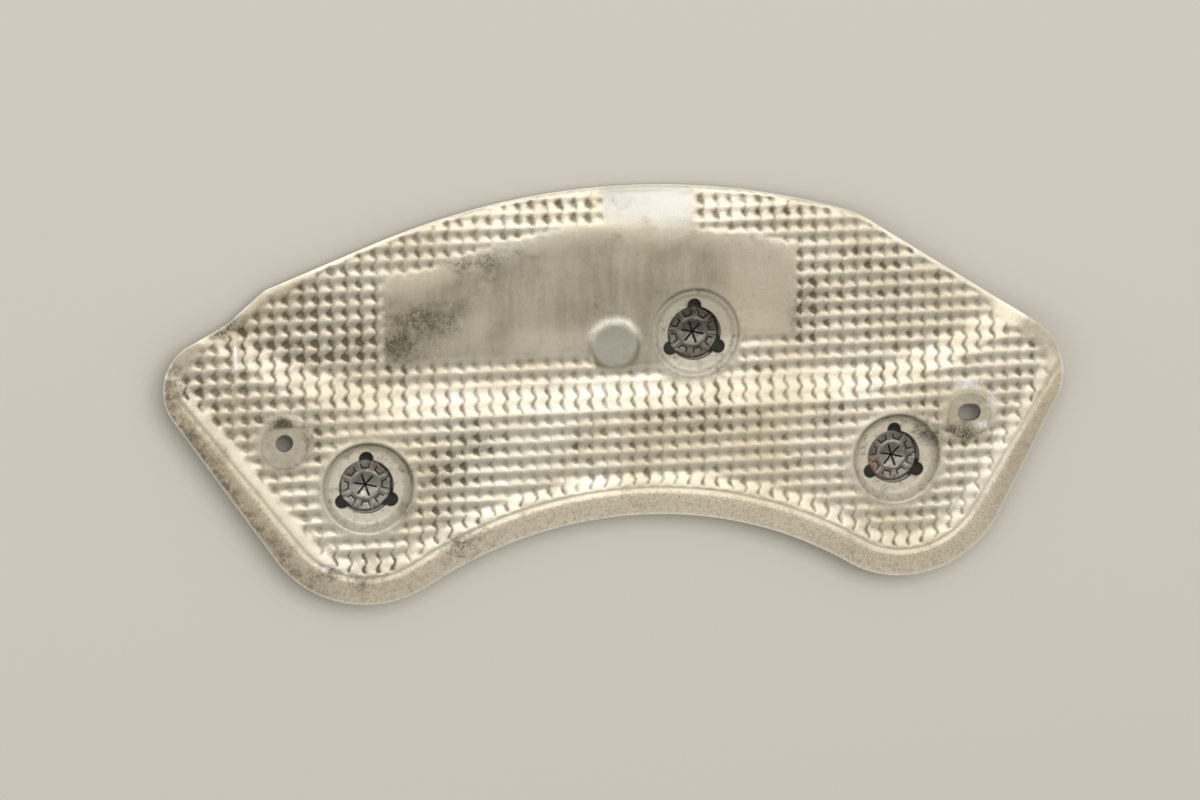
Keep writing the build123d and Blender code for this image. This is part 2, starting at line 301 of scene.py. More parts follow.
def slot_loop(centre, length, radius):
    """Round-ended slot along X, or a round hole."""
    half = length / 2 - radius
    turn = np.radians(np.arange(0, 360, slot_turn))
    x = radius * np.cos(turn) + np.where(np.cos(turn) > 0, half, -half)
    return np.stack([centre[0] + x, centre[1] + radius * np.sin(turn)], axis=-1)


def hole_loops(grow=0.0):
    """Edges of all openings and holes, or lines outside them."""
    radius = hole_radius + grow
    loops = [opening_loop(centre, grow) for centre in seats.values()]
    loops.append(slot_loop(bolt_hole, 2 * radius, radius))
    loops.append(slot_loop(slot_hole, slot_length + 2 * grow, radius))
    return loops


# Relief of the shown face

def ramp(d, soft):
    """Nought below d = 0, d above it, rounded over the given half-width."""
    return np.where(d < -soft, 0, np.where(d > soft, d, (d + soft) ** 2 / (4 * soft)))


def smooth(a, b, t):
    t = np.clip((t - a) / (b - a), 0, 1)
    return t * t * (3 - 2 * t)


def bell(d, width):
    return np.exp(-((d / width) ** 2))


def soft_min(a, b, k):
    h = np.clip(0.5 + 0.5 * (b - a) / k, 0, 1)
    return b + (a - b) * h - k * h * (1 - h)


def away_from(points, centre):
    return np.hypot(points[:, 0] - centre[0], points[:, 1] - centre[1])


def bearing_from(points, centre):
    return np.arctan2(points[:, 1] - centre[1], points[:, 0] - centre[0])


def value_noise(points, size, seed):
    """Smooth noise from -1 to 1 with features of the given size."""
    table = np.random.default_rng(seed).uniform(-1, 1, (noise_cells, noise_cells))
    q = points / size
    i = np.floor(q).astype(int)
    f = q - i
    f = f * f * (3 - 2 * f)
    (left, foot), (right, head) = i.T % noise_cells, (i.T + 1) % noise_cells
    a, b, c, d = table[left, foot], table[right, foot], table[left, head], table[right, head]
    low = a + (b - a) * f[:, 0]
    high = c + (d - c) * f[:, 0]
    return low + (high - low) * f[:, 1]


def panel_top(points):
    """Distance below the upper edge of the smooth panel."""
    return np.interp(points[:, 0], panel_top_x, panel_top_y) - points[:, 1]


def panel_depth(points):
    """How far points lie inside the smooth panel, without and with its strip, below nought outside."""
    x, y = points.T
    foot = y - np.interp(x, panel_foot_x, panel_foot_y)
    body = np.minimum.reduce([x - panel_left_x, panel_right_x - x, foot, panel_top(points)])
    strip = np.minimum.reduce([x - strip_left_x, strip_right_x - x, foot])
    return body, np.maximum(body, strip)


def flange_depth(points):
    """Distance inside the head of the flange wall, below nought on the flange."""
    line = flange_line()
    away = belt_distance(line, points)
    return np.where(inside_loop(belt_loop(line, flange_step), points), away, -away)


def groove_mark(points, flange):
    """Groove at the head of the flange wall, strongest along the arch and faint on the flanks."""
    arch = 1 - groove_flank_loss * smooth(*groove_flank_x, np.abs(points[:, 0]))
    return bell(flange, groove_width) * arch


def step_inset(x, y):
    """Distance inside the foot of the step."""
    beyond = np.maximum(np.maximum(step_left_x - x, x - step_right_x), 0)
    return step_end_radius - np.hypot(beyond, step_centre_y - y)


def height(points, edge, flange):
    """Height of the shown face without its embossing."""
    x, y = points.T
    inside = step_inset(x, y)
    rise = ramp(inside, step_roundings[0]) - ramp(inside - step_run, step_roundings[1])
    z = lower_z - step_rise / step_run * rise
    z -= crown_drop / crown_run * ramp(y - crown_fold_y, crown_rounding)

    wall = wall_head_rise * (1 - smooth(wall_ease[0], wall_run + wall_ease[1], flange))
    lip = (flange_rise - wall_head_rise) * smooth(*lip_run, -flange) * (1 - smooth(*lip_end_y, y))
    groove = groove_depth * groove_mark(points, flange)
    fall = fall_depth * smooth(fall_start, flange_width, -flange)
    z = z + wall + lip - groove - fall

    inner = smooth(0, panel_sink_run, panel_depth(points)[1])
    left = smooth(strip_left_x - panel_sink_left_run, strip_left_x, x)
    z -= panel_sink * inner * left * smooth(*panel_sink_right_x, x)

    bend = smooth(*bend_x, np.abs(x - plan_middle_x)) * (1 - smooth(0, bend_run, edge)) * smooth(*bend_y, y)
    z -= bend_drop * bend

    crease = bell(x - tip_crease_x, tip_crease_width)
    z += tip_crease_rise * (crease * smooth(*tip_crease_foot_y, y) * (1 - smooth(*tip_crease_head_y, y)))

    z += button_rise * (1 - smooth(*np.add(button_radius, button_slope), away_from(points, button)))

    for centre in seats.values():
        r = away_from(points, centre)
        climb = (lower_z - seat_z) / seat_wall_run * ramp(r - seat_floor_radius, pocket_rounding)
        z = np.where(r < seat_floor_radius + pocket_reach, soft_min(z, seat_z + climb, pocket_blend), z)
        ripple = bell(r - seat_floor_radius - ripple_offset, ripple_width)
        ripple = ripple * (0.5 + 0.5 * np.cos(wrinkles * bearing_from(points, centre)))
        z -= ripple_depth * ripple * smooth(*ripple_share, value_noise(points, ripple_patch, ripple_seed))
    return z


def embossed_share(points, edge, flange):
    """Share of full embossing at each point, nought where the sheet is plain."""
    x, y = points.T
    shares = [
        smooth(*np.add(button_radius, button_margin), away_from(points, button)),
        1 - smooth(*panel_margin, panel_depth(points)[1]),
    ]
    for centre in seats.values():
        shares.append(smooth(*np.add(seat_floor_radius, seat_margin), away_from(points, centre)))
    for centre in (bolt_hole, slot_hole):
        shares.append(smooth(*np.add(washer_radius, washer_margin), away_from(points, centre)))
    flank = smooth(*flank_x, x) * (1 - smooth(*flank_y, y))
    near, far = (a + b * flank for a, b in zip(flange_margin, flank_margin))
    shares.append(smooth(near, far, flange))
    tip = smooth(*tip_x, np.abs(x - plan_middle_x)) * smooth(*tip_y, y)
    tip *= np.where(x < 0, 1 - left_tip_loss * smooth(*left_tip_y, y), 1)
    near, far = (a + b * tip for a, b in zip(rim_margin, tip_margin))
    shares.append(smooth(near, far, edge))
    return np.min(shares, axis=0)


def steepness(points, flange):
    """Share of a slope at each point, on the step and on the flange wall."""
    x, y = points.T
    inside = step_inset(x, y)
    step = smooth(*step_start, inside) * (1 - smooth(*np.subtract(step_run, step_end), inside))
    run = wall_run + foot_extra_run * smooth(*foot_extra_y, y)
    wall = smooth(*wall_start, flange) * (1 - smooth(run - wall_end, run, flange))
    return np.maximum(step, wall)


def winding(v):
    """Sideways swing of the column creases, in cells."""
    return swing * np.sin(2 * pi * (v + swing_start))


def embossing(points, steep):
    """Depth of the pressed lattice below the face, and how near each point is to the bottom of a hollow, as
    a share of dirt and painted shade.
    """
    x, y = points.T
    v = (y - step_foot_y) / pitch
    u = x / pitch - winding(v)
    row = np.floor(v).astype(int)
    cell = np.floor(u).astype(int) % pit_table[0], row % pit_table[1]
    draw = np.random.default_rng(pit_seed)
    vary = draw.uniform(*pit_range, pit_table)[cell]
    off_u, off_v = draw.uniform(-pit_stray, pit_stray, (2, *pit_table))[:, cell[0], cell[1]]
    du = u - 0.5
    du = du - np.round(du)
    dv = v - row - 0.5
    rows = 0.5 + 0.5 * np.cos(2 * pi * dv)
    crease = bell(du, crease_width)
    deeper = 1 + deep_gain * smooth(*deep_x, x)
    across, along = (du - off_u) / (pit_width * deeper), (dv - off_v) / pit_height
    pit = np.exp(-(across**2) - along**2) * vary
    gap = smooth(*pillow_x, x) * smooth(*pillow_y, y) * (1 - steep) * bell(du, gap_width)
    bold = 1 + bold_gain * smooth(*bold_x, x) * smooth(*bold_y, y)
    flat_part = row_depth * bold * rows + pit_depth * deeper * pit
    depth = gap_depth * gap + (1 - slope_flattening * steep) * flat_part
    depth = depth + (crease_depth + slope_crease_depth * steep) * crease
    soil_and_shade = (1 - slope_soil_and_shade_loss * steep) * deeper * pit + (crease_soil_and_shade + slope_crease_soil_and_shade * steep) * crease
    soil_and_shade = soil_and_shade + ((1 - steep) * row_soil_and_shade * rows + gap_soil_and_shade * gap)
    return depth, np.minimum(soil_and_shade, 1)


def mottle(points):
    """Gentle unevenness of a used sheet."""
    return sum(h * (1 + value_noise(points, size, seed)) for h, size, seed in mottle_layers)


# Dirt, wear, rust and a painted highlight on the tip crease, as soft patches: place, spread along X and Y,
# strength
map_shift = 7.3
sheet_patches = {"dirt": [
    ((-85, 33), (17, 10), 0.95), ((-98, 24), (14, 11), 0.9), ((-120, 22), (22, 7), 0.9),
    ((-140, 24), (16, 5), 0.6), ((-148.3, -7), (5, 2.6), 1.0), ((-146, -24), (9, 4), 0.5),
    ((-136, -14), (4, 8), 0.55), ((-78, -32), (14, 12), 0.9), ((-84, -50), (12, 9), 0.8),
    ((-176, -42), (7, 18), 0.6), ((-186, -16), (6, 20), 0.55), ((-190, 12), (10, 10), 0.4),
    ((-172, 34), (14, 5), 0.7), ((82, 36), (9, 16), 0.75), ((74, 40), (5, 18), 0.25),
    ((148, -26), (14, 6), 0.95), ((134, -14), (5, 8), 0.6), ((62, 8), (10, 6), 0.4),
    ((-60, 58), (22, 6), 0.5), ((-20, -25), (30, 6), 0.35), ((40, -12), (26, 6), 0.45),
    ((96, -14), (10, 6), 0.5), ((186, 4), (6, 16), 0.5), ((-160, -62), (16, 8), 0.5),
    ((-118, -72), (26, 8), 0.45), ((-66, -20), (10, 8), 0.6), ((-72, -62), (12, 10), 0.6),
], "tarnish": [
    ((-130, 36), (40, 22), 0.75), ((-180, 0), (22, 30), 0.45), ((-70, -38), (26, 22), 0.12),
    ((110, 36), (44, 26), 0.6), ((-150, -16), (16, 14), 0.4), ((150, -16), (16, 14), 0.4),
    ((40, -18), (40, 14), 0.25), ((-60, 78), (50, 9), 0.5), ((70, 76), (40, 12), 0.55),
    ((-120, -76), (40, 9), 0.45), ((120, -74), (40, 9), 0.35),
], "pale": [
    ((-33, 22), (26, 7), 0.9), ((-62, 31), (10, 6), 0.6), ((-2, 60), (5, 6), 0.5),
    ((-70, 22), (6, 10), 0.5),
], "grains": [
    ((-78, 31), (9, 9), 1.0), ((-88, 20), (9, 6), 1.0),
], "scrape": [
    ((154, -3), (8, 3), 1.0), ((166, -12), (4, 7), 0.75), ((161, -22), (6, 3), 0.85),
    # The last patch is a painted highlight running down the tip crease
    ((-131, -71.5), (2.4, 1.6), 1.0), ((-166.9, 20), (1.5, 9), 0.95),
]}

# Marks: where each lies, and the places between which it comes in
washer_drop, worn_disc, worn_disc_share = 1.5, (8.6, 9.6), 0.4
washer_ring_radius, washer_ring_width, washer_ring_share = 9.7, 0.5, 0.95
# Painted shade and grime round the head of the seat walls
shade_and_grime_radius, shade_and_grime_width, shade_and_grime_turn = 19.3, 0.85, np.radians(62)
shade_and_grime_least, shade_and_grime_side = 0.25, (-0.35, 0.75)
# Painted highlight above the button
halo_side, halo_inner, halo_outer = (0.1, 0.75), (-0.8, 0.8), (11.6, 14.0)
moon_x, moon_y, moon_edge, moon_chord, moon_chord_edge = -0.4, 6.4, (3.6, 4.5), 6.6, (-0.6, 0.5)
plain_run, border_x, border_edge = 2.0, (140, 165), (6, 10)
panel_edge, panel_top_fade, panel_pale_x, panel_pale_loss = (-1.0, 2.0), (-1.0, 13.0), (25, 60), 0.45
strip_fade, rosy_edge, rosy_x = (-3.0, 1.0), (0.0, 3.0), (26, 52)
# Painted shadow line along the inner edge of the hem near the top
hem_inset, hem_width, hem_y = 2.4, 0.9, (70, 78)
seat_edge, button_edge, rim_edge = (2, 5), (-0.6, 0.8), (0.0, 1.2)
crust_edge, crust_x, crust_y = (1.0, 7.0), (-128, -150), (5, 30)
# Soot per nut, and painted shade on the upper half of each nut
upper_shade_gain, upper_shade_y = 0.38, (-1.0, 2.0)
nut_soot = {"left": 0.12, "centre": 0.6, "right": 0.25}
rust_patches = {
    "left": [((4, 7), (3, 2), 0.5)],
    "centre": [((-4, -10), (7, 2.2), 1.0), ((6, -9.5), (3, 2), 0.5)],
    "right": [((-9, -4), (2.5, 6), 1.0), ((-5, -9), (4, 2), 0.7)],
}


def patch_mask(points, patches):
    mask = np.zeros(len(points))
    for (px, py), (wx, wy), strength in patches:
        d = ((points[:, 0] - px + map_shift) / wx) ** 2 + ((points[:, 1] - py) / wy) ** 2
        mask = np.maximum(mask, strength * np.exp(-d))
    return mask


def washer_mark(points, hole):
    """Mark of a washer round a hole: a worn disc with a dark rim."""
    r = away_from(points, (hole[0], hole[1] - washer_drop))
    ring = bell(r - washer_ring_radius, washer_ring_width)
    return worn_disc_share * (1 - smooth(*worn_disc, r)) + washer_ring_share * ring


def painted_opening_shade(points):
    """Painted shade: a dark edge round the openings of the seats and the holes."""
    gaps = []
    for centre in seats.values():
        gaps.append(away_from(points, centre) - opening_radius)
        for turn in lobe_turns:
            lobe = polar(centre, lobe_centre_radius, turn)
            gaps.append(away_from(points, lobe) - lobe_radius)
    for (x, y), half in ((bolt_hole, 0.0), (slot_hole, slot_length / 2 - hole_radius)):
        along = np.maximum(np.abs(points[:, 0] - x) - half, 0)
        gaps.append(np.hypot(along, points[:, 1] - y) - hole_radius)
    return 1 - smooth(0.0, lip_rows[0], np.min(gaps, axis=0))


def seat_shade(points):
    """Painted shade and grime at the head of the seat walls, heaviest on the upper right side, which faces
    away from the light.
    """
    mark = np.zeros(len(points))
    for centre in seats.values():
        r = away_from(points, centre)
        side = smooth(*shade_and_grime_side, np.cos(bearing_from(points, centre) - shade_and_grime_turn))
        ring = bell(r - shade_and_grime_radius, shade_and_grime_width)
        mark = np.maximum(mark, (shade_and_grime_least + (1 - shade_and_grime_least) * side) * ring)
    return mark


def painted_button_highlight(points):
    """Painted highlight: a bright crescent above the button, on its upper slope that faces the light."""
    r = away_from(points, button)
    side = smooth(*halo_side, (points[:, 1] - button[1]) / np.maximum(r, 1.0))
    return side * smooth(*np.add(button_radius, halo_inner), r) * (1 - smooth(*halo_outer, r))


def half_moon(points):
    """Dark stain of the shape of a half moon above the round hole."""
    r = away_from(points, (bolt_hole[0] + moon_x, bolt_hole[1] + moon_y))
    above = smooth(*moon_chord_edge, points[:, 1] - bolt_hole[1] - moon_chord)
    return (1 - smooth(*moon_edge, r)) * above


def sheet_masks(flat, edge, flange, seat_gap):
    """Marks on the sheet, each from nought to one."""
    x, y = flat.T
    body, whole = panel_depth(flat)
    panel = smooth(*panel_edge, body) * smooth(*panel_top_fade, panel_top(flat))
    hem = bell(edge - hem_inset, hem_width) * smooth(*strip_fade, whole)
    washers = [washer_mark(flat, place) for place in (bolt_hole, slot_hole)]
    return {
        **{name: patch_mask(flat, patches) for name, patches in sheet_patches.items()},
        "plain": np.clip(-flange / plain_run, 0, 1),
        # Tarnish and painted shade along the bent-back border at the tips
        "border": smooth(*border_x, np.abs(x - plan_middle_x)) * (1 - smooth(*border_edge, edge)),
        "panel": panel * (1 - panel_pale_loss * smooth(*panel_pale_x, x)),
        "strip": smooth(*panel_edge, whole) * (1 - smooth(*strip_fade, body)),
        "hem": hem * smooth(*hem_y, y),
        "rosy": smooth(*rosy_edge, body) * smooth(*rosy_x, x),
        # Painted shade in the groove at the head of the flange wall
        "groove": groove_mark(flat, flange),
        # Painted shade round the openings
        "lip": painted_opening_shade(flat),
        "seat": 1 - smooth(*np.add(seat_floor_radius, seat_edge), seat_gap),
        "shade": seat_shade(flat),
        "halo": painted_button_highlight(flat),
        "button": 1 - smooth(*np.add(button_radius, button_edge), away_from(flat, button)),
        "moon": half_moon(flat),
        "washer": np.max(washers, axis=0),
        "crust": (1 - smooth(*crust_edge, edge)) * smooth(*crust_x, x) * (1 - smooth(*crust_y, y)),
        # Painted highlight along the outer edge
        "rim": 1 - smooth(*rim_edge, edge),
    }


# Building the sheet

def lattice_points(across, along):
    """Points of the dimple lattice, at the given shares of a cell, drawn together along the creases."""
    u = np.concatenate([i + np.array(across) for i in lattice_columns])
    v = np.concatenate([j + np.array(along) for j in lattice_rows])
    u, v = (grid.ravel() for grid in np.meshgrid(u, v))
    u = u + winding(v) * np.sin(pi * u) ** 2
    return np.stack([u * pitch, step_foot_y + v * pitch], axis=-1)


def ring_points(centre, radius, count):
    return polar(centre, radius, np.linspace(0, 2 * pi, count, endpoint=False))


def guide_points():
    """Rows of points along the flange wall, the seat walls, the button, the openings and the rim."""
    rows = [belt_loop(flange_line(d), guide_step) for d in flange_rows]
    rows += [ring_points(centre, r, seat_ring_points) for centre in seats.values() for r in seat_rings]
    rows += [ring_points(button, r, button_ring_points) for r in button_rings]
    for d in lip_rows:
        rows += hole_loops(d)
    points = np.concatenate(rows)
    points = points[rim_distance(points) > rim_rows[-1] + guide_gap]
    return np.concatenate([points] + [belt_loop(outline(edge_inset + d), rim_row_step) for d in rim_rows])


def clear_of_guides(points):
    """Points that lie clear of the guide rows and of the edges."""
    def beside(distance, rows):
        return (distance < rows[0] - guide_gap) | (distance > rows[-1] + guide_gap)

    clear = beside(flange_depth(points), flange_rows) & beside(away_from(points, button), button_rings)
    for centre in seats.values():
        clear &= beside(away_from(points, centre), seat_rings)
    return points[clear & (rim_distance(points) > rim_rows[-1] + guide_gap)]


def wants_detail(points):
    """Which points lie in the embossing or in the marks round the holes."""
    kept = embossed_share(points, belt_distance(outline(edge_inset), points), flange_depth(points))
    marked = np.minimum(away_from(points, bolt_hole), away_from(points, slot_hole)) < mark_radius
    return (kept > least_share) | marked


def front_points():
    fine = clear_of_guides(lattice_points(fine_across, fine_along))
    coarse = clear_of_guides(lattice_points(coarse_shares, coarse_shares))
    fine = fine[wants_detail(fine)]
    coarse = coarse[~wants_detail(coarse)]
    return np.concatenate([guide_points(), fine, coarse])


def back_points():
    rings = [ring_points(centre, r, back_ring_points) for centre in seats.values() for r in seat_rings[::2]]
    return np.concatenate([clear_of_guides(lattice_points(back_shares, back_shares))] + rings)


def facing_up(points, triangles):
    a, b, c = (points[triangles[:, k]] for k in range(3))
    turn = (b[:, 0] - a[:, 0]) * (c[:, 1] - a[:, 1]) - (b[:, 1] - a[:, 1]) * (c[:, 0] - a[:, 0])
    return np.where((turn < 0)[:, None], triangles[:, ::-1], triangles)


def fill_loops(loops, inner):
    """Plane points and triangles inside the first loop and outside the others, the loop points first."""
    for loop in loops[1:]:
        near = np.hypot(*(inner - loop.mean(axis=0)).T) < hole_reach
        close = np.zeros(len(inner), bool)
        candidates = inner[near]
        gap = np.min(np.linalg.norm(candidates[:, None] - loop[None], axis=2), axis=1)
        close[near] = inside_loop(loop, candidates) | (gap < guide_gap)
        inner = inner[~close]
    edges, start = [], 0
    for loop in loops:
        n = len(loop)
        edges += [(start + k, start + (k + 1) % n) for k in range(n)]
        start += n
    points = np.concatenate(list(loops) + [inner])
    out = delaunay_2d_cdt([Vector(p) for p in points], edges, [], valid_faces, weld)
    triangles = np.array([f for f in out[2] if len(f) == 3])
    flat = np.array([tuple(p) for p in out[0]])
    middle = flat[triangles].mean(axis=1)
    filled = inside_loop(loops[0], middle)
    for loop in loops[1:]:
        filled &= ~inside_loop(loop, middle)
    return flat, facing_up(flat, triangles[filled])


def solid_mesh(name, loops, front, back, masks, more=(), more_masks=None):
    """Closed mesh from a front and a back layer joined along the loops, and more flat-sided bodies."""
    offset = len(front[0])
    vertices = np.concatenate([front[0], back[0]] + [body[0] for body in more])
    faces = front[1].tolist() + (back[1][:, ::-1] + offset).tolist()
    rim_edges, start = set(), 0
    for loop in loops:
        n = len(loop)
        for k in range(n):
            a, b = start + k, start + (k + 1) % n
            side = (a, a + offset, b + offset, b)
            faces.append(side if loop is loops[0] else (b, b + offset, a + offset, a))
            rim_edges |= {(min(a, b), max(a, b)), (min(a, b) + offset, max(a, b) + offset)}
        start += n
    rounded = len(faces)
    start = offset + len(back[0])
    for corners, sides in more:
        faces += [tuple(start + k for k in side) for side in sides]
        start += len(corners)
    mesh = bpy.data.meshes.new(name)
    mesh.from_pydata((vertices * MM).tolist(), [], faces)
    for key in masks[0]:
        values = np.concatenate([side[key] for side in masks])
        layer = mesh.attributes.new(key, "FLOAT", "POINT")
        rest = (more_masks or {}).get(key, 0.0)
        values = np.pad(values, (0, len(vertices) - len(values)), constant_values=rest)
        layer.data.foreach_set("value", values.astype(np.float32))
    mesh.polygons.foreach_set("use_smooth", np.arange(len(mesh.polygons)) < rounded)
    sharp = mesh.attributes.new("sharp_edge", "BOOLEAN", "EDGE")
    sharp.data.foreach_set("value", [tuple(sorted(e.vertices)) in rim_edges for e in mesh.edges])
    mesh.update()
    return mesh


def add_object(name, data):
    thing = bpy.data.objects.new(name, data)
    bpy.context.scene.collection.objects.link(thing)
    return thing


def build_sheet(shift):
    arcs = outline(edge_inset)
    loops = [belt_loop(arcs, rim_step)] + hole_loops()
    layers, masks = [], []
    for inner in (front_points(), back_points()):
        flat, triangles = fill_loops(loops, inner)
        edge, flange = belt_distance(arcs, flat), flange_depth(flat)
        keep = embossed_share(flat, edge, flange)
        depth, spot = embossing(flat, steepness(flat, flange))
        seat_gap = np.min([away_from(flat, centre) for centre in seats.values()], axis=0)
        uneven = mottle(flat) * smooth(seat_floor_radius, seat_floor_radius + mottle_run, seat_gap)
        z = height(flat, edge, flange) - (depth * keep + uneven + face_clearance)
        z -= rim_drop * (1 - smooth(0, rim_drop_run, edge)) * smooth(*rim_drop_y, flat[:, 1])
        z = np.minimum(z, lower_z + flange_rise - face_clearance)
        if layers:
            z -= thickness
        layers.append((np.column_stack([flat - shift, z]), triangles))
        masks.append({"hollow": spot * keep, "embossed": keep, **sheet_masks(flat, edge, flange, seat_gap)})
    return add_object("shield_sheet_relief", solid_mesh("shield_sheet_relief", loops, *layers, masks))


# Building a push nut

def nut_relief(points):
    """Height of a push nut's shown face over its plate, the depth of its dish, and where it is slit."""
    r, bearing = np.hypot(*points.T), np.degrees(np.arctan2(points[:, 1], points[:, 0]))

    def toward(angle, step):
        """Place along and across the nearest of the spokes that start at an angle."""
        off = np.radians((bearing - angle + step / 2) % step - step / 2)
        return r * np.cos(off), r * np.sin(off)

    along, _ = toward(slit_start + slit_turn / 2, slit_turn)
    dish = finger_dish * np.clip(1 - along / (finger_root_radius * sqrt(0.75)), 0, 1)
    root = smooth(*root_inner, along) * (1 - smooth(*root_outer, r))
    along, across = toward(slit_start, slit_turn)
    star = 1 - smooth(*slit_half_width, np.abs(across))
    star = star * (1 - smooth(*np.add(slit_length, slit_end), along))
    lip = bell(np.abs(across) - slit_lip_offset, slit_lip_width)
    lip = lip * (1 - smooth(*slit_lip_end, along)) * smooth(*slit_lip_start, along)
    along, across = toward(0, tongue_turn)
    ends = (tongue_inner, tongue_outer)
    half = np.interp(along, ends, (tongue_half_inner, tongue_half_outer))
    inside = np.minimum.reduce([along - tongue_inner, tongue_outer - along, half - np.abs(across)])
    pad = smooth(*tongue_edge, inside) * np.interp(along, ends, tongue_slope)
    lance = smooth(*lance_inner, -inside) * (1 - smooth(*lance_outer, -inside))
    lance = lance * (1 - smooth(*lance_end, along))
    along, across = toward(tongue_turn / 2, tongue_turn)
    rib = bell(across, rib_width) * smooth(*rib_start, along) * (1 - smooth(*rib_end, along))
    stud = np.exp(-((along - stud_radius) ** 2 + across**2) / stud_spread)
    slit = np.maximum(star, lance)
    z = root_rise * root + tongue_rise * pad + rib_rise * rib + stud_rise * stud + slit_lip_rise * lip
    z = z - slit_sink * slit - plate_edge_drop * smooth(*plate_edge, r)
    return z - dish, dish, slit


def nut_ear(angle, base_z):
    """Bent ear behind a seat: corners and sides of a flat strip."""
    skin = nut_thickness - 2 * ear_clearance
    floor, roof = base_z + ear_clearance, nut_seat_z - ear_clearance
    top = [(ear_root, floor + skin), (ear_bend, floor + skin), (ear_step, roof), (ear_tip, roof)]
    low = [(ear_root, floor), (ear_bend + ear_bend_shift, floor)]
    low += [(ear_step + ear_bend_shift, nut_seat_z - skin), (ear_tip, nut_seat_z - skin)]
    corners = []
    for y in (-ear_half_width, ear_half_width):
        corners += [(*rotated(x, y, angle), z) for x, z in top + low]
    sides = [(8, 12, 4, 0), (3, 7, 15, 11)]
    for k in range(3):
        sides += [(k, k + 4, k + 5, k + 1), (k + 8, k + 9, k + 13, k + 12)]
        sides += [(k, k + 1, k + 9, k + 8), (k + 4, k + 12, k + 13, k + 5)]
    return np.array(corners), sides


def build_nut(side, shift):
    loop = ring_points((0, 0), plate_radius, seat_ring_points)
    top_z = nut_seat_z - nut_drop
    layers, masks = [], []
    for step, least_z in zip(nut_steps, nut_least_z):
        axis = np.arange(-plate_radius, plate_radius, step)
        inner = np.stack(np.meshgrid(axis, axis), axis=-1).reshape(-1, 2)
        inner = inner[np.hypot(*inner.T) < plate_radius - nut_rim_gap * step]
        flat, triangles = fill_loops([loop], inner)
        z, dish, slit = nut_relief(flat)
        if layers:
            z = top_z - nut_thickness + nut_clearance - dish
        else:
            z = z + top_z - nut_clearance
        layers.append((np.column_stack([flat, np.maximum(z, least_z)]), triangles))
        x, y = rotated(*flat.T, nut_turns[side])
        masks.append({
            "slit": slit,
            # Soot, with painted shade on the upper half
            "soot": np.minimum(nut_soot[side] + upper_shade_gain * smooth(*upper_shade_y, y), 1),
            "rust": patch_mask(np.column_stack([x - map_shift, y]), rust_patches[side]),
        })
    ears = [nut_ear(ear_start + ear_turn * k, top_z - nut_thickness) for k in range(3)]
    name = f"push_nut_{side}_detail"
    # The ears get the near-black slit colour: painted shade behind the lobes
    mesh = solid_mesh(name, [loop], *layers, masks, ears, {"slit": ear_painted_shade})
    place = np.subtract(seats[side], shift)
    turn = Matrix.Rotation(np.radians(nut_turns[side]), 4, "Z")
    mesh.transform(Matrix.Translation((*(place * MM), 0)) @ turn)
    return add_object(name, mesh)


# Materials

class Paint:
    """Material with one shader, and short ways to add nodes to it."""

    def __init__(self, name):
        self.material = bpy.data.materials.new(name)
        self.material.use_nodes = True
        self.tree = self.material.node_tree
        self.tree.nodes.clear()
        self.shader = self.node("ShaderNodeBsdfPrincipled")
        output = self.node("ShaderNodeOutputMaterial")
        self.feed(output.inputs["Surface"], self.shader.outputs["BSDF"])

    def node(self, kind, **values):
        made = self.tree.nodes.new(kind)
        for key, value in values.items():
            if key in made.inputs:
                made.inputs[key].default_value = value
            else:
                setattr(made, key, value)
        return made

    def feed(self, socket, value):
        """Give a socket a number, a colour, or the output of a node."""
        if hasattr(value, "is_output"):
            self.tree.links.new(value, socket)
        else:
            socket.default_value = (*value, 1.0) if isinstance(value, tuple) else value

    def give(self, name, value):
        """Set a value of the shader."""
        self.feed(self.shader.inputs[name], value)

    def mask(self, name):
        return self.node("ShaderNodeAttribute", attribute_name=name).outputs["Fac"]

    def noise(self, scale, detail=4.0, rough=0.55, stretch=(1, 1, 1)):
        scaled = self.node("ShaderNodeVectorMath", operation="MULTIPLY")
        self.feed(scaled.inputs[0], self.node("ShaderNodeTexCoord").outputs["Object"])
        scaled.inputs[1].default_value = stretch
        made = self.node("ShaderNodeTexNoise", Scale=scale, Detail=detail, Roughness=rough)
        self.feed(made.inputs["Vector"], scaled.outputs[0])
        return made.outputs["Fac"]

    def maths(self, operation, a, b, clamp=False):
        made = self.node("ShaderNodeMath", operation=operation, use_clamp=clamp)
        self.feed(made.inputs[0], a)
        self.feed(made.inputs[1], b)
        return made.outputs[0]

    def add(self, a, b, clamp=False):
        return self.maths("ADD", a, b, clamp)

    def times(self, a, b):
        return self.maths("MULTIPLY", a, b, True)

    def most(self, first, *others):
        for other in others:
            first = self.maths("MAXIMUM", first, other)
        return first

    def span(self, value, low, high, to_low=0.0, to_high=1.0):
        """Value carried over from one range to another, and held at its ends."""
        made = self.node("ShaderNodeMapRange", clamp=True)
        for socket, given in zip(made.inputs, (value, low, high, to_low, to_high)):
            self.feed(socket, given)
        return made.outputs["Result"]

    def blend(self, share, a, b):
        """Mix of two colours."""
        made = self.node("ShaderNodeMix", data_type="RGBA")
        for k, value in ((0, share), (6, a), (7, b)):
            self.feed(made.inputs[k], value)
        return made.outputs[2]


